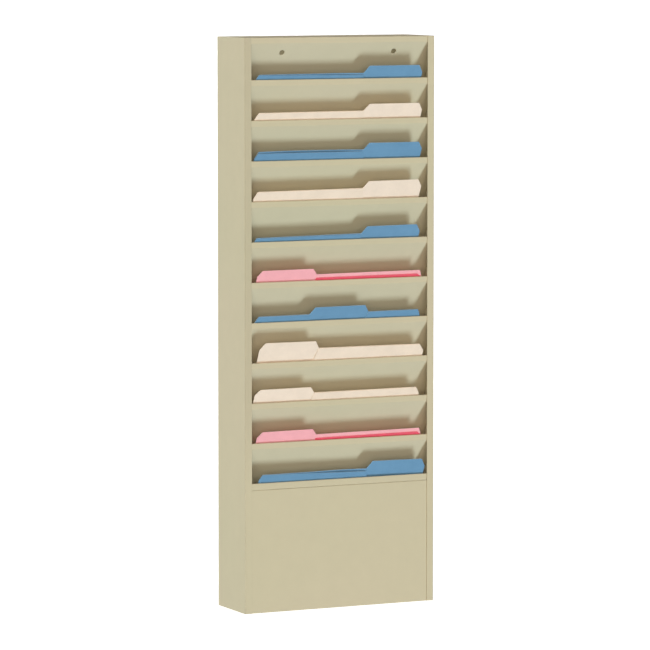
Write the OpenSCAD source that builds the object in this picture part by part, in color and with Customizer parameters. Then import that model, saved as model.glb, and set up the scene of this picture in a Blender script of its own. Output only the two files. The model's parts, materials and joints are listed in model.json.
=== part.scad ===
// Wall-hung steel chart rack: eleven sloping pockets, each holding one letter-size tab folder.
// The origin is the centre of the case's underside. +X is right, +Y is towards the wall, +Z is up.
// All sizes are millimetres.

/* [Case] */
// Width over the two side panels
case_w = 335; // [330:1:420]
// Depth from the front flanges to the wall
case_d = 104.8; // [85:0.1:105.5]
// Height from the underside to the top edge
case_h = 914.4; // [913.5:0.1:1100]
// Width of the flange that each side panel turns in at the front
front_flange_w = 12; // [8:0.5:13]
// Width of the flange that each side panel turns in at the wall
rear_flange_w = 18; // [10:1:40]
// Height of the flanges turned on the top and bottom plates
plate_flange_h = 12; // [8:1:16]

/* [Sheet metal] */
// Thickness of the steel sheet
sheet_t = 0.9; // [0.7:0.1:1]
// Inside radius of an ordinary bend
bend_r = 0.6; // [0.3:0.1:1]
// Space left inside a hem
hem_gap = 0.3; // [0.1:0.1:0.6]
// Length of sheet turned back in a hem
hem_len = 5; // [3:0.5:7]

/* [Pockets] */
// Top edge of the case down to the lip of the first pocket
first_lip_drop = 66.5; // [60:0.5:66.5]
// Distance from one pocket's lip to the next
pocket_pitch = 64; // [56:0.5:64]
// Height of the upright lip above the slope
lip_h = 9.5; // [7:0.5:10]
// Lean of a divider's slope from upright, in degrees
slope = 28.2; // [28:0.1:34]
// Height of the foot that a divider turns down against the back panel
foot_h = 7; // [4:0.5:8]
// Height of the flange turned up at each end of a slope
end_flange_h = 10; // [6:1:14]
// Clearance between the last slope and the top edge of the front cover
cover_gap = 0.1; // [0.1:0.1:1.5]

/* [Wall fixing] */
// Distance between the two wall screws
screw_spacing = 197; // [120:1:260]
// Depth of the screws below the top edge
screw_drop = 24; // [18:0.5:40]
// Diameter of each screw hole in the back panel
screw_hole_d = 6.4; // [4:0.1:8]
// Diameter of each screwdriver hole in the top divider
access_hole_d = 9; // [7:0.5:12]

/* [Folders] */
// Width of a folder
folder_w = 293; // [288:1:296]
// Height of a folder's back flap without its tab
folder_h = 227; // [222:0.5:232]
// Width of a tab along its base
tab_w = 104; // [96:1:110]
// Sideways lean of a tab's ends
tab_lean = 8; // [4:0.5:12]
// Width of the cut at each of the flaps' top corners
corner_cut_w = 5.5; // [3:0.5:12]
// Height of the cut at each of the flaps' top corners
corner_cut_h = 12; // [6:0.5:16]
// Depth of the opening that is cut into the front flap below the tab
undercut_h = 24; // [14:0.5:26]
// Sideways lean of the ends of that opening
undercut_lean = 6; // [2:0.5:10]
// Distance between the outer faces of the two flaps at the top
flap_spread = 3; // [2:0.5:4]
// Thickness of the single flap that carries the tab
tab_t = 1; // [0.5:0.1:1.5]
// Clearance between a folder and the rack
folder_gap = 0.35; // [0.3:0.05:0.6]
// Place of each folder's tab, top pocket first
tab_place = [1, 1, 1, 1, 1, -1, 0, -1, -1, -1, 1]; // each one of [-1:left, 0:centre, 1:right]
// Height of each folder's tab above its back flap, top pocket first
tab_h = [13, 12, 12.5, 12.5, 12.5, 10.5, 12.5, 13, 10.5, 10.5, 14]; // each [8:0.5:16]
// How much lower each folder's front flap ends, top pocket first
front_flap_drop = [2, 0.5, 2.5, 0.5, 1, 5, 0.5, 0.5, 0.5, 5, 2.5]; // each [0.5:0.5:6]
// Width of each folder's spread bottom, top pocket first
bottom_spread = [1, 3.5, 4.5, 6, 1, 2, 2.5, 8, 4, 2, 4]; // each [1:0.5:9]
// Sideways place of each folder's middle, top pocket first
folder_shift = [-1, -2.5, -3, -5, -5.5, 0.5, -3, 1.5, -5, -0.5, 3.5]; // each [-5.5:0.5:5.5]

/* [Colours] */
// Colour of the enamelled steel
enamel = "#c8bea0"; // a colour name or #rrggbb
// Colour of each folder, top pocket first
folder_tint = ["#689cc8", "#f4e2d0", "#689cc8", "#f4e2d0", "#689cc8", "#f4a0b4",
               "#689cc8", "#f4e2d0", "#f4ddd0", "#f4a0b4", "#689cc8"]; // each a colour name or #rrggbb

/* [Hidden] */

bend_steps = 6;      // facets in one bend
bore_fn = 48;        // facets of a drawn circle, which stays a true circle
cut_over = 1;        // how far a cutter runs past each face

outer_r = bend_r + sheet_t;                       // outside radius of an ordinary bend
half_w = case_w / 2;
half_d = case_d / 2;
inner_half_w = half_w - sheet_t;                  // inside face of a side panel
flat_half_w = inner_half_w - bend_r;              // half width of a flat sheet between the side panels' bends
front_y = -half_d + sheet_t;                      // front face of the lips and the cover
back_y = half_d - 2 * sheet_t;                    // front face of the back panel
hem_mid_r = (hem_gap + sheet_t) / 2;              // radius of a hem's bend along the middle of the sheet
hem_back_y = front_y + 2 * sheet_t + hem_gap;     // rear face of a lip's hem
half_turn = tan(slope / 2);                       // setback of a slope's bend for a radius of 1
slope_dy = back_y - sheet_t - front_y;            // depth that a slope covers
slope_len = slope_dy / sin(slope);
slope_dz = slope_dy / tan(slope);
slope_end_margin = 12;                            // slope left plain above its end flanges
slope_foot_margin = 24;                           // slope left plain below its end flanges

// Upright distance from a lip's top to the bottom of its pocket
pocket_dz = lip_h + slope_dz - sheet_t * half_turn;
// Lean of a folder that rests on the lip and in the bottom of the pocket
lean = atan((back_y - hem_back_y) / pocket_dz);

// Height of a pocket's lip: 1 is the top pocket
function lip_z(pocket) = case_h - first_lip_drop - (pocket - 1) * pocket_pitch;

// How far below the lip a folder's bottom comes to rest, measured along the folder
function seat(spread) =
    (back_y - hem_back_y - folder_gap * (1 + cos(lean)) - spread * cos(lean)) / sin(lean);

function heading(angle) = [cos(angle), sin(angle)];

// Points along the middle of a bent sheet, each as [point, heading]. Flat legs alternate with turns,
// which are positive to the left and have the inside radii given.
function stations(legs, turns, radii, start, angle, i = 0) =
    let (end = start + legs[i] * heading(angle))
    concat([[start, angle]], legs[i] > 0 ? [[end, angle]] : [],
           i == len(turns) ? [] : bend(legs, turns, radii, end, angle, i));

function bend(legs, turns, radii, start, angle, i) =
    let (side = 90 * sign(turns[i]),
         r = radii[i] + sheet_t / 2,
         centre = start + r * heading(angle + side),
         after = angle + turns[i])
    concat([for (k = [1:bend_steps - 1])
                let (a = angle + turns[i] * k / bend_steps) [centre + r * heading(a - side), a]],
           stations(legs, turns, radii, centre + r * heading(after - side), after, i + 1));

// Cross-section of a bent sheet
module sheet_section(path) {
    polygon(concat(
        [for (s = path) s[0] + sheet_t / 2 * heading(s[1] + 90)],
        [for (k = [len(path) - 1:-1:0]) path[k][0] + sheet_t / 2 * heading(path[k][1] - 90)]));
}

// A section drawn in depth and height, drawn out sideways to each side of the middle
module across(half_width) {
    translate([-half_width, 0, 0]) rotate([90, 0, 90]) linear_extrude(2 * half_width) children();
}

// A flat plate given by its lowest and highest corner
module plate(low, high) {
    translate(low) cube(high - low);
}

// U-shaped section as wide as the inside of the case, with its flanges pointing up
module flanged_section(flange_h) {
    leg = flange_h - outer_r;
    sheet_section(stations([leg, 2 * (inner_half_w - outer_r), leg], [90, 90], [bend_r, bend_r],
                           [-inner_half_w + sheet_t / 2, flange_h], -90));
}

// Frame of a divider's slope: x across, y out of its upper face, z up the slope from the lip's bend
module on_slope() {
    translate([0, front_y, -lip_h]) rotate([slope, 0, 0]) children();
}

// Frame of a folder: x across, y from its front flap to its back flap, z up the folder from the lip's top
module on_lean() {
    translate([0, hem_back_y, 0]) rotate([lean, 0, 0]) translate([0, folder_gap, 0]) children();
}

// ---- Case ----

module side_panel_left() {
    color(enamel)
    linear_extrude(case_h)
    sheet_section(stations([front_flange_w - outer_r, case_d - 2 * outer_r, rear_flange_w - outer_r],
                           [-90, -90], [bend_r, bend_r],
                           [-half_w + front_flange_w, -half_d + sheet_t / 2], 180));
}

module side_panel_right() {
    mirror([1, 0, 0]) side_panel_left();
}

module back_panel() {
    color(enamel)
    difference() {
        plate([-flat_half_w, back_y, 0], [flat_half_w, back_y + sheet_t, case_h]);
        for (side = [-1, 1])
            translate([side * screw_spacing / 2, back_y - cut_over, case_h - screw_drop])
            rotate([-90, 0, 0])
            cylinder(h = sheet_t + 2 * cut_over, d = screw_hole_d, $fn = bore_fn);
    }
}

// Cap with its side flanges turned down, between the top divider's hem and the back panel
module top_plate() {
    color(enamel)
    translate([0, back_y, case_h]) rotate([90, 0, 0])
    linear_extrude(back_y - hem_back_y) mirror([0, 1]) flanged_section(plate_flange_h);
}

// Floor of the case, with flanges turned up at the sides and behind the front cover
module bottom_plate() {
    flange_y = front_y + sheet_t;
    flange_x = inner_half_w - outer_r - sheet_t;
    color(enamel)
    union() {
        translate([0, back_y, 0]) rotate([90, 0, 0])
        linear_extrude(back_y - flange_y) flanged_section(plate_flange_h);
        plate([-flange_x, flange_y, 0], [flange_x, flange_y + sheet_t, plate_flange_h]);
    }
}

// Plain cover that closes the front below the last lip
module front_cover() {
    top_z = lip_z(len(tab_place)) - lip_h - sheet_t / tan(slope) - cover_gap;
    color(enamel) plate([-flat_half_w, front_y, 0], [flat_half_w, front_y + sheet_t, top_z]);
}

// ---- Dividers ----

// Hemmed lip, slope and foot, drawn with the lip's top at zero
module divider_section() {
    lip_leg = lip_h - outer_r * half_turn - hem_mid_r - sheet_t / 2;
    slope_leg = slope_len - (outer_r + bend_r) * half_turn;
    foot_leg = foot_h - bend_r * half_turn;
    sheet_section(stations([hem_len, lip_leg, slope_leg, foot_leg], [180, slope, -slope],
                           [hem_gap / 2, bend_r, bend_r],
                           [front_y + sheet_t / 2 + 2 * hem_mid_r,
                            -hem_mid_r - sheet_t / 2 - hem_len], 90));
}

// Bend and flange that rise from the right-hand end of a slope
module end_flange_section() {
    sheet_section(stations([0, end_flange_h - outer_r], [90], [bend_r],
                           [inner_half_w - outer_r, sheet_t / 2], 0));
}

module divider_sheet() {
    flanged_len = slope_len - slope_end_margin - slope_foot_margin;
    union() {
        across(inner_half_w - outer_r) divider_section();
        on_slope() translate([0, 0, -slope_end_margin - flanged_len])
        for (side = [0, 1]) mirror([side, 0, 0]) linear_extrude(flanged_len) end_flange_section();
    }
}

module divider(pocket) {
    color(enamel) translate([0, 0, lip_z(pocket)]) divider_sheet();
}

// The first slope, flush with the top edge, with two holes that a screwdriver reaches the wall screws through
module top_divider() {
    hole_z = -(screw_drop - lip_h) / cos(slope);
    color(enamel)
    translate([0, 0, case_h])
    difference() {
        divider_sheet();
        on_slope()
        for (side = [-1, 1])
            translate([side * screw_spacing / 2, -cut_over, hole_z])
            rotate([-90, 0, 0])
            cylinder(h = sheet_t + 2 * cut_over, d = access_hole_d, $fn = bore_fn);
    }
}

// ---- Folders ----

// Middle of a folder's tab: the place is -1 at the left end, 0 in the middle or 1 at the right end
function tab_middle(place) = place * (folder_w - tab_w) / 2;

// Outline of a folder's back flap with its tab, seen from the front
module folder_outline(low, body_top, place, tab_rise) {
    half = folder_w / 2;
    left = tab_middle(place) - tab_w / 2;
    right = tab_middle(place) + tab_w / 2;
    polygon([[-half, low], [half, low], [half, body_top - corner_cut_h],
             [half - corner_cut_w, body_top], [-half + corner_cut_w, body_top],
             [-half, body_top - corner_cut_h]]);
    polygon([[left, body_top - corner_cut_h], [right, body_top - corner_cut_h], [right, body_top],
             [right - tab_lean, body_top + tab_rise], [left + tab_lean, body_top + tab_rise],
             [left, body_top]]);
}

// Side of the opening in a front flap. It runs out of the folder's end where the tab stands at that end.
function undercut_side(place, side, lean) =
    place == side ? side * (folder_w / 2 + cut_over) : tab_middle(place) + side * (tab_w / 2 - lean);

// Outline of the opening in a front flap below the tab, seen from the front
module undercut_outline(body_top, place) {
    polygon([[undercut_side(place, -1, 0), body_top + cut_over],
             [undercut_side(place, -1, undercut_lean), body_top - undercut_h],
             [undercut_side(place, 1, undercut_lean), body_top - undercut_h],
             [undercut_side(place, 1, 0), body_top + cut_over]]);
}

// Outline of a folder from its end: two flaps that lean together from a spread bottom
module folder_side(low, body_top, spread, tab_rise, drop) {
    tab_front = flap_spread - tab_t;
    polygon([[0, low], [spread, low], [flap_spread, body_top], [flap_spread, body_top + tab_rise],
             [tab_front, body_top + tab_rise], [tab_front, body_top - drop], [0, body_top - drop]]);
}

// An outline seen from the front, drawn out in depth from a front to a back plane
module in_depth(front, back) {
    translate([0, back, 0]) rotate([90, 0, 0]) linear_extrude(back - front) children();
}

module folder(pocket) {
    spread = bottom_spread[pocket - 1];
    place = tab_place[pocket - 1];
    tab_rise = tab_h[pocket - 1];
    low = -seat(spread);
    body_top = low + folder_h;
    color(folder_tint[pocket - 1])
    translate([folder_shift[pocket - 1], 0, lip_z(pocket)]) on_lean()
    difference() {
        intersection() {
            across(folder_w / 2 + cut_over)
            folder_side(low, body_top, spread, tab_rise, front_flap_drop[pocket - 1]);
            in_depth(-cut_over, max(spread, flap_spread) + cut_over)
            folder_outline(low, body_top, place, tab_rise);
        }
        in_depth(-cut_over, flap_spread - tab_t) undercut_outline(body_top, place);
    }
}

side_panel_left();
side_panel_right();
back_panel();
top_plate();
bottom_plate();
front_cover();
top_divider();
divider(1);  // divider_01
divider(2);  // divider_02
divider(3);  // divider_03
divider(4);  // divider_04
divider(5);  // divider_05
divider(6);  // divider_06
divider(7);  // divider_07
divider(8);  // divider_08
divider(9);  // divider_09
divider(10);  // divider_10
divider(11);  // divider_11
folder(1);  // folder_01
folder(2);  // folder_02
folder(3);  // folder_03
folder(4);  // folder_04
folder(5);  // folder_05
folder(6);  // folder_06
folder(7);  // folder_07
folder(8);  // folder_08
folder(9);  // folder_09
folder(10);  // folder_10
folder(11);  // folder_11
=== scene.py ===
"""Looks of a wall-hung steel file rack with eleven loaded pockets.

The rack's sheet metal is the CAD model's own, in enamel. Each folder's CAD wedge is replaced by one
folded sheet of card.
"""
import json
import math

import bpy
from mathutils import Matrix, Vector

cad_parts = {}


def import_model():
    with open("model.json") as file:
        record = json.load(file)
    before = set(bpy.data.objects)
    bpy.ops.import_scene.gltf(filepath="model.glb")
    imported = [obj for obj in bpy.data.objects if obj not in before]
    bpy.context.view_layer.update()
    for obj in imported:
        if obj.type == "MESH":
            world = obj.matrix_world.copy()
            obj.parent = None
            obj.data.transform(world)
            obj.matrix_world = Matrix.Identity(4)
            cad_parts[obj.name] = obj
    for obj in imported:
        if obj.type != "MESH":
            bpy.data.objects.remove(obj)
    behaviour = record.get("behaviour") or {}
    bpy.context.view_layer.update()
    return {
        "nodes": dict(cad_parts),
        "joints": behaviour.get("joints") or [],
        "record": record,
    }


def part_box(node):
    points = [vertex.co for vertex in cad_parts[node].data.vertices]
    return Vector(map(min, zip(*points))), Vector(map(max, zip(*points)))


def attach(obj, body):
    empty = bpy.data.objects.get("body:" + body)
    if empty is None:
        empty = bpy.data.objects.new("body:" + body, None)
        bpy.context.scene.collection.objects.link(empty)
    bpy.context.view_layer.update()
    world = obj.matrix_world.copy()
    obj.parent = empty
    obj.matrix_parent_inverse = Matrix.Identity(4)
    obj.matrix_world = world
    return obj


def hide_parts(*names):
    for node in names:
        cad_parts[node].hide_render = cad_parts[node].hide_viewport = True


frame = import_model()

MM = 0.001
FOLDERS = sorted(n for n in frame["nodes"] if n.startswith("folder_"))
STEEL = sorted(n for n in frame["nodes"] if not n.startswith("folder_"))

# ---- Folder design, in millimetres, as the CAD folders are cut ----
CARD_T = 0.45                  # thickness of the card
TAB_LEAN = 8.0                 # sideways lean of a tab's ends
CUT_W, CUT_H = 5.5, 12.0       # cut at the top corners of the flaps, across and down
OPENING_H, OPENING_LEAN = 24.0, 6.0   # opening in the front flap below the tab: depth, and lean of its ends
CORNER_R = 2.2                 # rounding of the outline's corners
FOLD_R = 0.9                   # radius of a fold, along the middle of the card
RIPPLE = 0.2                   # waviness of a back flap where the flaps stand apart
RIPPLE_TURN = 5.1              # how far the ripple's wave turns across a folder, in radians
NEAR = 0.5                     # within this of a level, a CAD corner counts as being at it
COLUMNS = 36                   # columns that a card is divided into across, besides those at its corners
COLUMN_MIN = 0.3               # narrowest column

# What differs from folder to folder, in millimetres.
# rise: how much the flaps' top edges rise to the right.
# skew: how much lower than level the front flap's top edge is at its left and right end.
# gap: space between the flaps at the top, at five places from left to right.
# bow: how far the flaps bow.
# corner: width of the cut at the front and back flaps' right top corners, where it is not CUT_W.
CHARACTER = {
    "folder_01": dict(rise=0.8, skew=(-1.0, 1.6), gap=(0.3, 0.9, 1.6, 0.5, 0.1), bow=0.6),
    "folder_02": dict(rise=1.0, skew=(0, 0), gap=(0.1, 0.1, 0.1, 0.1, 0.1), bow=0.3),
    "folder_03": dict(rise=0.0, skew=(0, 0), gap=(1.0, 2.4, 2.4, 0.1, 0.1), bow=0.8),
    "folder_04": dict(rise=2.8, skew=(0, 0), gap=(0.1, 0.2, 0.1, 0.1, 0.1), bow=0.4),
    "folder_05": dict(rise=4.0, skew=(0, 0.5), gap=(0.2, 0.3, 0.4, 0.2, 0.1), bow=0.4),
    "folder_06": dict(rise=1.4, skew=(0.3, 0.9), gap=(0.1, 0.2, 0.3, 0.4, 0.3), bow=0.5,
                      corner=(16.0, CUT_W)),
    "folder_07": dict(rise=1.9, skew=(0, 0), gap=(0.1, 0.1, 0.1, 0.2, 0.1), bow=0.5),
    "folder_08": dict(rise=-1.4, skew=(0, 0), gap=(0.1, 0.1, 0.1, 0.2, 0.1), bow=0.4, corner=(9.5, 9.5)),
    "folder_09": dict(rise=1.5, skew=(0, 0), gap=(0.1, 0.1, 0.2, 0.1, 0.1), bow=0.3, corner=(7.5, 7.5)),
    "folder_10": dict(rise=2.6, skew=(1.2, 0.9), gap=(0.1, 0.2, 0.3, 0.2, 0.2), bow=0.5,
                      corner=(14.0, CUT_W)),
    "folder_11": dict(rise=-1.0, skew=(-2.5, 3.5), gap=(0.1, 0.8, 2.8, 1.4, 0.2), bow=0.8),
}

# ---- Materials ----

BEND_SHADE = 0.88               # painted shade on the sheet metal's bends: their colour is darkened against the light they catch
BEND_R = 1.1                   # millimetres from an edge that its bend takes up
BEND_WIDTH = 1.7               # millimetres of each face that the bends at the case's front corners take up
SKIN = 0.4                     # millimetres behind the case's front that still count as its front face
FLANGE_W = 12.0                # millimetres that a side panel turns in at the front
FLANGE_SHADE = 0.895            # painted shade on the left flange's upper part, as if it were turned a little off the light
FLANGE_FADE = (0.17, 0.37)     # heights between which that painted shade comes in, in metres


def srgb(r, g, b):
    """Linear colour of an 8-bit sRGB one."""
    def linear(c):
        c /= 255
        return c / 12.92 if c <= 0.04045 else ((c + 0.055) / 1.055) ** 2.4
    return (linear(r), linear(g), linear(b), 1.0)


class Nodes:
    """A material's node tree, with one short call for each kind of node that is used here."""

    def __init__(self, name):
        self.material = bpy.data.materials.new(name)
        self.material.use_nodes = True
        self.tree = self.material.node_tree
        self.shader = self.tree.nodes["Principled BSDF"]
        self.coords = self.tree.nodes.new("ShaderNodeTexCoord").outputs["Object"]

    def link(self, source, target):
        self.tree.links.new(source, target)

    def add(self, kind, **settings):
        node = self.tree.nodes.new(kind)
        for key, value in settings.items():
            setattr(node, key, value)
        return node

    def noise(self, scale, detail=3.0, roughness=0.5, stretch=None, distortion=0.0):
        """Noise from 0 to 1, in features of about 1 / scale metres."""
        node = self.add("ShaderNodeTexNoise")
        node.inputs["Scale"].default_value = scale
        node.inputs["Detail"].default_value = detail
        node.inputs["Roughness"].default_value = roughness
        node.inputs["Distortion"].default_value = distortion
        vector = self.coords
        if stretch:
            mapping = self.add("ShaderNodeMapping")
            mapping.inputs["Scale"].default_value = stretch
            self.link(vector, mapping.inputs["Vector"])
            vector = mapping.outputs["Vector"]
        self.link(vector, node.inputs["Vector"])
        return node.outputs["Fac"]

    def remap(self, value, low, high, to_low, to_high, smooth=False):
        """Maps low..high onto to_low..to_high and clamps."""
        node = self.add("ShaderNodeMapRange")
        node.interpolation_type = "SMOOTHSTEP" if smooth else "LINEAR"
        for key, v in zip(("From Min", "From Max", "To Min", "To Max"), (low, high, to_low, to_high)):
            node.inputs[key].default_value = v
        self.link(value, node.inputs["Value"])
        return node.outputs["Result"]

    def calc(self, operation, a, b):
        """One arithmetic operation or comparison on two values, each a socket or a number."""
        node = self.add("ShaderNodeMath", operation=operation)
        for socket, value in zip(node.inputs, (a, b)):
            if isinstance(value, (int, float)):
                socket.default_value = value
            else:
                self.link(value, socket)
        return node.outputs["Value"]

    def mix(self, factor, a, b, blend="MIX"):
        """Mixes two colours, each a tuple or a socket, by a socket or number."""
        node = self.add("ShaderNodeMix", data_type="RGBA", blend_type=blend)
        for socket, value in ((node.inputs["Factor"], factor), (node.inputs[6], a), (node.inputs[7], b)):
            if isinstance(value, (tuple, int, float)):
                socket.default_value = value
            else:
                self.link(value, socket)
        return node.outputs[2]

    def shade(self, colour, value, low, high):
        """Multiplies a colour by a grey from low to high as value goes from 0 to 1."""
        grey = self.remap(value, 0.0, 1.0, low, high)
        rgb = self.add("ShaderNodeCombineColor")
        for socket in rgb.inputs[:3]:
            self.link(grey, socket)
        return self.mix(1.0, colour, rgb.outputs["Color"], blend="MULTIPLY")

    def bump(self, height, distance, strength, normal=None):
        """The surface normal roughened by a height, distance deep in metres."""
        node = self.add("ShaderNodeBump")
        node.inputs["Strength"].default_value = strength
        node.inputs["Distance"].default_value = distance
        self.link(height, node.inputs["Height"])
        if normal is not None:
            self.link(normal, node.inputs["Normal"])
        return node.outputs["Normal"]

    def rounded(self, radius, samples=6):
        """The surface normal with sharp edges rounded off."""
        node = self.add("ShaderNodeBevel", samples=samples)
        node.inputs["Radius"].default_value = radius
        return node.outputs["Normal"]

    def edges(self, radius, low, high):
        """1 along sharp edges, within about a radius of them, and 0 elsewhere."""
        geometry = self.add("ShaderNodeNewGeometry")
        dot = self.add("ShaderNodeVectorMath", operation="DOT_PRODUCT")
        self.link(self.rounded(radius), dot.inputs[0])
        self.link(geometry.outputs["Normal"], dot.inputs[1])
        return self.remap(dot.outputs["Value"], high, low, 0.0, 1.0)

    def place(self):
        """A point's x, y and z in the object's own axes, which are the frame's."""
        node = self.add("ShaderNodeSeparateXYZ")
        self.link(self.coords, node.inputs["Vector"])
        return node.outputs["X"], node.outputs["Y"], node.outputs["Z"]

    def finish(self, colour, roughness, normal):
        """Connects the shader's colour, roughness and normal, and gives the material."""
        self.link(colour, self.shader.inputs["Base Color"])
        self.link(roughness, self.shader.inputs["Roughness"])
        self.link(normal, self.shader.inputs["Normal"])
        return self.material


def front_corner_shade_mask(n):
    """1 on the bends along the case's two upright front edges, and 0 elsewhere. Marks where painted shade
    darkens them.
    """
    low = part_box("side_panel_left")[0]
    x, y, _ = n.place()
    at_side = n.calc("GREATER_THAN", n.calc("ABSOLUTE", x, 0.0), -low.x - BEND_WIDTH * MM)
    at_front = n.calc("LESS_THAN", y, low.y + BEND_WIDTH * MM)
    return n.calc("MULTIPLY", at_side, at_front)


def left_flange_shade_mask(n):
    """1 on the left side panel's front flange, except near its foot, and 0 elsewhere. Marks where painted
    shade darkens it.
    """
    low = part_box("side_panel_left")[0]
    x, y, z = n.place()
    at_side = n.calc("LESS_THAN", x, low.x + FLANGE_W * MM)
    at_front = n.calc("LESS_THAN", y, low.y + SKIN * MM)
    high_up = n.remap(z, *FLANGE_FADE, 0.0, 1.0, smooth=True)
    return n.calc("MULTIPLY", n.calc("MULTIPLY", at_side, at_front), high_up)


def enamel():
    """Putty baked enamel on sheet steel: a faint orange peel, soft mottling, rubbed edges, and painted shade
    on the bends and the left flange.
    """
    n = Nodes("putty_enamel")
    n.shader.inputs["IOR"].default_value = 1.45
    n.shader.inputs["Specular IOR Level"].default_value = 0.3
    base = srgb(199, 192, 163)
    warm = srgb(202, 192, 165)
    drift = n.noise(2.2, detail=2.0)
    colour = n.mix(n.remap(drift, 0.35, 0.65, 0.0, 1.0), base, warm)
    colour = n.shade(colour, n.noise(38.0, detail=4.0, roughness=0.6), 0.965, 1.035)
    bends = n.edges(BEND_R * MM, 0.80, 0.97)
    # Painted shade: the bends and the case's two upright front corners are darkened, against the light they
    # catch.
    colour = n.shade(colour, bends, 1.0, BEND_SHADE)
    colour = n.shade(colour, front_corner_shade_mask(n), 1.0, BEND_SHADE)
    # Painted shade: the left flange's upper part is darkened.
    colour = n.shade(colour, left_flange_shade_mask(n), 1.0, FLANGE_SHADE)
    rub = n.calc("MULTIPLY", bends, n.remap(n.noise(120.0), 0.5, 0.7, 0.0, 0.25))
    colour = n.mix(rub, colour, srgb(224, 216, 192))
    scuff = n.noise(9.0, detail=6.0, roughness=0.7, stretch=(1.0, 1.0, 3.0), distortion=0.6)
    roughness = n.remap(scuff, 0.3, 0.7, 0.62, 0.76)
    peel = n.noise(620.0, detail=2.0, roughness=0.4)
    normal = n.bump(peel, 0.035 * MM, 0.8, n.rounded(0.35 * MM))
    return n.finish(colour, roughness, normal)


def card(name, colour, deep, fleck=0.0):
    """Pressed card stock: cloudy colour, fine fibres and a matte, slightly fuzzy surface."""
    n = Nodes(name)
    n.shader.inputs["IOR"].default_value = 1.4
    n.shader.inputs["Sheen Weight"].default_value = 0.08
    n.shader.inputs["Sheen Roughness"].default_value = 0.6
    cloud = n.noise(45.0, detail=5.0, roughness=0.65)
    tone = n.mix(n.remap(cloud, 0.3, 0.7, 0.0, 1.0), colour, deep)
    fibre = n.noise(900.0, detail=4.0, roughness=0.7, stretch=(0.35, 1.0, 1.0))
    tone = n.shade(tone, fibre, 0.95, 1.05)
    if fleck:
        spots = n.remap(n.noise(1500.0, detail=1.0), 0.66, 0.72, 0.0, fleck)
        tone = n.mix(spots, tone, deep)
    roughness = n.remap(cloud, 0.3, 0.7, 0.72, 0.86)
    return n.finish(tone, roughness, n.bump(fibre, 0.03 * MM, 0.7))


def card_edge(name, colour):
    """Cut edge of card stock, paler and rougher than its faces."""
    n = Nodes(name)
    layers = n.noise(1400.0, detail=3.0, roughness=0.7)
    tone = n.shade(colour, layers, 0.9, 1.06)
    return n.finish(tone, n.remap(layers, 0.3, 0.7, 0.85, 0.95), n.bump(layers, 0.05 * MM, 0.8))


def card_set(name, outside, inside, edge, fleck=0.0):
    """The three materials of one colour of folder: outside, inside and cut edge."""
    def deeper(c):
        return tuple(v * 0.93 for v in c[:3]) + (1.0,)
    return [card(name + "_outside", outside, deeper(outside), fleck),
            card(name + "_inside", inside, deeper(inside), fleck),
            card_edge(name + "_edge", edge)]


CARDS = {
    "blue_card": card_set("blue_card", srgb(101, 148, 184), srgb(103, 150, 186), srgb(172, 200, 218)),
    "manila_card": card_set("manila_card", srgb(243, 224, 204), srgb(245, 226, 207), srgb(255, 243, 222),
                            fleck=0.25),
    "pink_card": card_set("pink_card", srgb(238, 88, 110), srgb(251, 177, 185), srgb(252, 212, 214)),
}

# ---- Folded card ----


def lerp(a, b, f):
    """The value a fraction f of the way from a to b."""
    return a + (b - a) * f


def folder_frame(node):
    """A CAD folder's own axes and extents, in millimetres. u runs up the folder and n out of its back."""
    joint = next(j for j in frame["joints"] if j["child"] == node)
    up = Vector(joint["axis"]).normalized()
    back = Vector((0.0, up.z, -up.y))
    points = [v.co for v in frame["nodes"][node].data.vertices]
    corners = [(p.x / MM, p.dot(back) / MM, p.dot(up) / MM) for p in points]
    low, top = min(c[2] for c in corners), max(c[2] for c in corners)
    left, right = min(c[0] for c in corners), max(c[0] for c in corners)
    front = min(c[1] for c in corners)
    tab = [c[0] for c in corners if c[2] > top - NEAR]
    tab_left, tab_right = min(tab) - TAB_LEAN, max(tab) + TAB_LEAN
    return dict(up=up, back=back, low=low, top=top, left=left, right=right, front=front,
                level=max(c[2] for c in corners if c[2] < top - NEAR),
                front_level=max(c[2] for c in corners if c[1] < front + NEAR),
                spread=max(c[1] for c in corners if c[2] < low + NEAR) - front,
                tab_left=tab_left, tab_right=tab_right,
                at_left=tab_left < left + NEAR, at_right=tab_right > right - NEAR)


def round_corners(points, radius, steps=5):
    """The polyline with each inner corner replaced by a curve that keeps clear of its neighbours."""
    longest = 0.45             # the most of a side that one corner's curve may take
    out = [points[0]]
    for a, b, c in zip(points, points[1:], points[2:]):
        a, b, c = Vector(a), Vector(b), Vector(c)
        to_a, to_c = (a - b).normalized(), (c - b).normalized()
        half = to_a.angle(to_c) / 2
        reach = min(radius / math.tan(half), longest * (a - b).length, longest * (c - b).length)
        start, end = b + to_a * reach, b + to_c * reach
        for k in range(steps + 1):
            t = k / steps
            out.append(tuple((1 - t) ** 2 * start + 2 * t * (1 - t) * b + t * t * end))
    out.append(points[-1])
    return out


def back_outline(f, corner):
    """The back flap's top edge from left to right, with its tab."""
    left, right, level, top = f["left"], f["right"], f["level"], f["top"]
    tab_left, tab_right = f["tab_left"], f["tab_right"]
    left_end = [(left, level - CUT_H), (left + CUT_W, level), (tab_left, level)]
    right_end = [(tab_right, level), (right - corner, level), (right, level - CUT_H)]
    if f["at_left"]:
        left_end = [(left, level)]
    if f["at_right"]:
        right_end = [(right, level)]
    tab = [(tab_left + TAB_LEAN, top), (tab_right - TAB_LEAN, top)]
    return round_corners(left_end + tab + right_end, CORNER_R)


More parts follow.
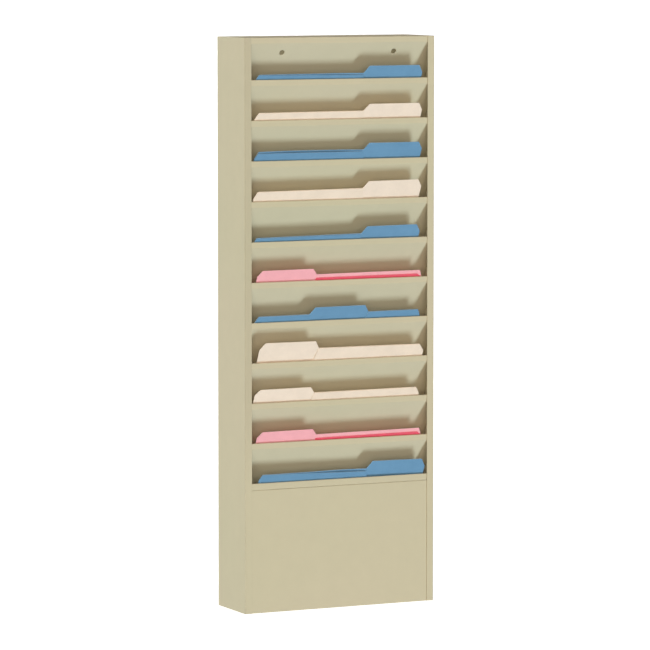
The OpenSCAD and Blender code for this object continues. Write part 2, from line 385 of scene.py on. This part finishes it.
def front_outline(f, skew, corner):
    """The front flap's top edge from left to right, with the opening below the tab."""
    left, right, level = f["left"], f["right"], f["front_level"]
    tab_left, tab_right = f["tab_left"], f["tab_right"]
    low, deep = f["level"] - CUT_H, f["level"] - OPENING_H
    kept = 1 - (f["level"] - level) / CUT_H      # share of a corner's cut that the lower front flap keeps
    left_end = [(left, low), (left + CUT_W * kept, level), (tab_left, level), (tab_left + OPENING_LEAN, deep)]
    right_end = [(tab_right - OPENING_LEAN, deep), (tab_right, level),
                 (right - corner * kept, level), (right, low)]
    if f["at_left"]:
        left_end = [(left, deep)]
    if f["at_right"]:
        right_end = [(right, deep)]
    lowered = [(x, u - lerp(*skew, (x - left) / (right - left))) for x, u in left_end + right_end]
    return round_corners(lowered, CORNER_R)


def height_at(outline, x):
    """Height of an outline at x."""
    for (x0, u0), (x1, u1) in zip(outline, outline[1:]):
        if x0 <= x <= x1:
            return u0 if x1 == x0 else lerp(u0, u1, (x - x0) / (x1 - x0))
    return outline[-1][1]


def columns(f, outlines):
    """Where the card is divided across: at every corner of its outlines, and every few millimetres."""
    at_corners = [x for outline in outlines for x, _ in outline]
    regular = [lerp(f["left"], f["right"], k / COLUMNS) for k in range(COLUMNS + 1)]
    kept = [f["left"]]
    for x in sorted(at_corners + regular):
        if x - kept[-1] > COLUMN_MIN:
            kept.append(x)
    kept[-1] = f["right"]
    return kept


def along(values, t):
    """Smooth curve through values that are evenly spaced from t = 0 to t = 1."""
    place = min(max(t, 0.0), 1.0) * (len(values) - 1)
    k = min(int(place), len(values) - 2)
    part = place - k
    return lerp(values[k], values[k + 1], part * part * (3 - 2 * part))


def section(f, look, x, tops):
    """The card's middle line at x, from the front flap's top down, under and up to the back flap's top.
    Returns a list of (n, u)."""
    across = (x - f["left"]) / (f["right"] - f["left"])
    lift = look["rise"] * (across - 0.5)
    front = f["front"] + CARD_T / 2
    spread = f["spread"] - CARD_T
    low = f["low"] + CARD_T / 2
    fold = min(FOLD_R, spread / 2)
    closed = CARD_T + along(look["gap"], across)

    def bow(u):
        """How far both flaps bow forward or back at a height."""
        return 0.5 * look["bow"] * math.sin(math.pi * min(1.0, (u - low) / (f["level"] - low)))

    def front_flap(u):
        return front + bow(u)

    def back_flap(u):
        v = (u - low) / (f["level"] - low)
        wave = math.sin(RIPPLE_TURN * across + f["low"])
        ripple = RIPPLE * wave * min(v, 1.0) ** 2 * min(1.0, closed - CARD_T)
        return front + lerp(spread, closed, v) + bow(u) + ripple

    front_rows, back_rows, fold_rows = 12, 14, 4
    line = []
    for k in range(front_rows + 1):
        u = lerp(tops[0] + lift, low + fold, k / front_rows)
        line.append((front_flap(u), u))
    for k in range(1, fold_rows + 1):
        a = math.pi / 2 * k / fold_rows
        line.append((front + fold * (1 - math.cos(a)), low + fold * (1 - math.sin(a))))
    if spread > 2 * fold + 0.2:
        line.append((front + spread / 2, low))
        line.append((front + spread - fold, low))
    for k in range(1, fold_rows + 1):
        a = math.pi / 2 * k / fold_rows
        line.append((front + spread - fold * (1 - math.sin(a)), low + fold * (1 - math.cos(a))))
    for k in range(1, back_rows + 1):
        u = lerp(low + fold, tops[1] + lift, k / back_rows)
        line.append((back_flap(u), u))
    return line


def folded_card(node, look, materials):
    """A folder as one bent sheet of card. Its three materials are for its outside, inside and cut edges."""
    f = folder_frame(node)
    front_corner, back_corner = look.get("corner", (CUT_W, CUT_W))
    outlines = [front_outline(f, look["skew"], front_corner), back_outline(f, back_corner)]
    xs = columns(f, outlines)
    grid = []
    for x in xs:
        tops = [height_at(o, x) for o in outlines]
        grid.append([Vector((x * MM, 0, 0)) + f["back"] * (n * MM) + f["up"] * (u * MM)
                     for n, u in section(f, look, x, tops)])
    wide, tall = len(grid), len(grid[0])

    def normal(i, j):
        """Out of the folder: forward on the front flap, backward on the back flap."""
        side = grid[min(i + 1, wide - 1)][j] - grid[max(i - 1, 0)][j]
        down = grid[i][min(j + 1, tall - 1)] - grid[i][max(j - 1, 0)]
        return down.cross(side).normalized()

    verts, faces, slots = [], [], []
    for direction in (0.5, -0.5):
        for i in range(wide):
            for j in range(tall):
                verts.append(grid[i][j] + normal(i, j) * (direction * CARD_T * MM))

    def index(layer, i, j):
        return (layer * wide + i) * tall + j

    for i in range(wide - 1):
        for j in range(tall - 1):
            loop = [(i, j), (i, j + 1), (i + 1, j + 1), (i + 1, j)]
            faces.append([index(0, *p) for p in loop])
            faces.append([index(1, *p) for p in reversed(loop)])
            slots += [0, 1]
    border = ([(i, 0) for i in range(wide)] + [(wide - 1, j) for j in range(1, tall)]
              + [(i, tall - 1) for i in range(wide - 2, -1, -1)] + [(0, j) for j in range(tall - 2, 0, -1)])
    for a, b in zip(border, border[1:] + border[:1]):
        corners = [index(0, *a), index(0, *b), index(1, *b), index(1, *a)]
        faces.append(list(range(len(verts), len(verts) + 4)))
        verts += [verts[c] for c in corners]
        slots.append(2)
    mesh = bpy.data.meshes.new(node.replace("folder", "card"))
    mesh.from_pydata(verts, [], faces)
    for m in materials:
        mesh.materials.append(m)
    for polygon, slot in zip(mesh.polygons, slots):
        polygon.material_index = slot
        polygon.use_smooth = slot < 2
    mesh.update()
    piece = bpy.data.objects.new(mesh.name, mesh)
    bpy.context.scene.collection.objects.link(piece)
    return piece


# ---- Studio ----

# Each light's direction of travel, strength, width in degrees and colour. The fill is broad and comes from
# above the camera. The ceiling light is for the top, the side light for the left-hand side, and the wall
# light for the back and the right-hand side. The key comes from the lower right, in front.
LIGHTS = {
    "fill": ((0.43, 0.90, -0.34), 1.83, 70.0, (1.14, 1.0, 0.84)),
    "ceiling": ((0.0, 0.08, -1.0), 0.60, 30.0, (0.97, 1.0, 1.02)),
    "side": ((1.0, -0.12, 0.05), 1.93, 10.0, (0.94, 1.0, 1.03)),
    "wall": ((-0.3, -1.0, 0.06), 1.60, 20.0, (1.0, 1.0, 1.0)),
}
KEY = ((-10.0, 15.6, 17.5), 1.77, 13.0, (0.83, 1.0, 1.10))
KEY_TURNS = (-9.0, 0.0, 9.0)   # how far each of the key's suns is turned up from its direction, in degrees
AMBIENT = 0.14                 # strength of the even light from all round

# Stray light in the closed space behind the top divider: a dim panel under the top plate
STRAY_POWER = 0.06             # watts
STRAY_WIDTH = 0.8              # share of the top divider's width that it takes up
STRAY_DEPTH = 0.03             # metres
STRAY_ASIDE = 0.02             # metres to the right of the middle
STRAY_DROP = 0.006             # metres below the case's top

FLOOR_HALF = 150.0             # metres from the middle of the floor to its edges
FLOOR_DROP = 0.0005            # metres below the case's underside
FLOOR_GLOW = 0.72


def sun(name, travel, strength, angle, colour):
    """A distant light that travels in the given direction."""
    data = bpy.data.lights.new(name, "SUN")
    data.energy = strength
    data.angle = math.radians(angle)
    data.color = colour
    lamp = bpy.data.objects.new(name, data)
    lamp.rotation_euler = Vector(travel).to_track_quat("-Z", "Y").to_euler()
    bpy.context.scene.collection.objects.link(lamp)


def strip():
    """The key light: suns one above the other, so that shadows are softer upward than sideways."""
    travel, strength, angle, colour = KEY
    level = math.hypot(travel[0], travel[1])
    climb = math.atan2(travel[2], level)
    for k, turn in enumerate(KEY_TURNS):
        up = level * math.tan(climb + math.radians(turn))
        sun("key_%d" % (k + 1), (travel[0], travel[1], up), strength / len(KEY_TURNS), angle, colour)


def stray_light():
    """Thin sheets never close a case tightly, so a little light stands behind the two screwdriver holes."""
    low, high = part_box("top_divider")
    data = bpy.data.lights.new("stray", "AREA")
    data.energy = STRAY_POWER
    data.shape = "RECTANGLE"
    data.size = STRAY_WIDTH * (high.x - low.x)
    data.size_y = STRAY_DEPTH
    lamp = bpy.data.objects.new("stray", data)
    lamp.location = (STRAY_ASIDE, lerp(low.y, high.y, 0.5), high.z - STRAY_DROP)
    bpy.context.scene.collection.objects.link(lamp)


def world():
    """Even soft light, with white behind the scene."""
    w = bpy.data.worlds.new("studio")
    bpy.context.scene.world = w
    w.use_nodes = True
    tree = w.node_tree
    background = tree.nodes["Background"]
    background.inputs["Color"].default_value = (1.0, 1.0, 1.0, 1.0)
    background.inputs["Strength"].default_value = AMBIENT
    white = tree.nodes.new("ShaderNodeBackground")
    white.inputs["Color"].default_value = (1.0, 1.0, 1.0, 1.0)
    white.inputs["Strength"].default_value = 1.0
    seen = tree.nodes.new("ShaderNodeLightPath")
    mix = tree.nodes.new("ShaderNodeMixShader")
    tree.links.new(seen.outputs["Is Camera Ray"], mix.inputs["Fac"])
    tree.links.new(background.outputs["Background"], mix.inputs[1])
    tree.links.new(white.outputs["Background"], mix.inputs[2])
    tree.links.new(mix.outputs["Shader"], tree.nodes["World Output"].inputs["Surface"])


def floor():
    """A pale floor that glows softly, so that the light from below passes it."""
    corners = [(x * FLOOR_HALF, y * FLOOR_HALF, 0) for x, y in ((-1, -1), (1, -1), (1, 1), (-1, 1))]
    mesh = bpy.data.meshes.new("floor")
    mesh.from_pydata(corners, [], [(0, 1, 2, 3)])
    n = Nodes("pale_floor")
    tone = n.shade((0.9, 0.9, 0.9, 1.0), n.noise(1.5), 0.97, 1.03)
    n.shader.inputs["Emission Color"].default_value = (1.0, 1.0, 1.0, 1.0)
    n.shader.inputs["Emission Strength"].default_value = FLOOR_GLOW
    n.link(tone, n.shader.inputs["Base Color"])
    mesh.materials.append(n.material)
    obj = bpy.data.objects.new("floor", mesh)
    obj.location.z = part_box("bottom_plate")[0].z - FLOOR_DROP
    obj.visible_shadow = False
    obj.visible_diffuse = False
    obj.visible_glossy = False
    bpy.context.scene.collection.objects.link(obj)


CAMERA_YAW = 25.55             # degrees to the right that the camera looks, so it stands to the rack's left
CAMERA_TILT = -5.28            # degrees above level that it looks
CAMERA_DISTANCE = 6.796        # metres from the rack's middle, measured level
CAMERA_ABOVE_TOP = 0.1644      # metres above the case's top
CAMERA_ASIDE = 0.0019          # metres to the left of the line through the rack's middle
CAMERA_LENS = 235.1            # millimetres
CAMERA_SENSOR = 36.0           # millimetres
CAMERA_REACH = 400.0           # metres that the camera sees, past the floor's far edge


def camera():
    """The camera, at the photograph's viewing angle."""
    yaw, tilt = math.radians(CAMERA_YAW), math.radians(CAMERA_TILT)
    level = Vector((math.sin(yaw), math.cos(yaw), 0))
    right = Vector((math.cos(yaw), -math.sin(yaw), 0))
    view = level * math.cos(tilt) + Vector((0, 0, math.sin(tilt)))
    up = right.cross(view)
    data = bpy.data.cameras.new("camera")
    data.lens = CAMERA_LENS
    data.sensor_width = CAMERA_SENSOR
    data.clip_end = CAMERA_REACH
    obj = bpy.data.objects.new("camera", data)
    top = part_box("side_panel_left")[1].z
    place = Vector((0, 0, top + CAMERA_ABOVE_TOP)) - level * CAMERA_DISTANCE - right * CAMERA_ASIDE
    obj.matrix_world = Matrix.Translation(place) @ Matrix((right, up, -view)).transposed().to_4x4()
    bpy.context.scene.collection.objects.link(obj)
    bpy.context.scene.camera = obj


# ---- Make it ----

camera()
world()
floor()
for lamp_name, lamp_settings in LIGHTS.items():
    sun(lamp_name, *lamp_settings)
strip()
stray_light()

putty = enamel()
for name in STEEL:
    for slot in frame["nodes"][name].material_slots:
        slot.material = putty

slot_of = {part["node"]: part["material_slot"] for part in frame["record"]["subparts"]}
for name in FOLDERS:
    piece = folded_card(name, CHARACTER[name], CARDS[slot_of[name]])
    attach(piece, name)
    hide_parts(name)

settings = bpy.context.scene.view_settings
settings.view_transform = "Standard"
settings.look = "None"
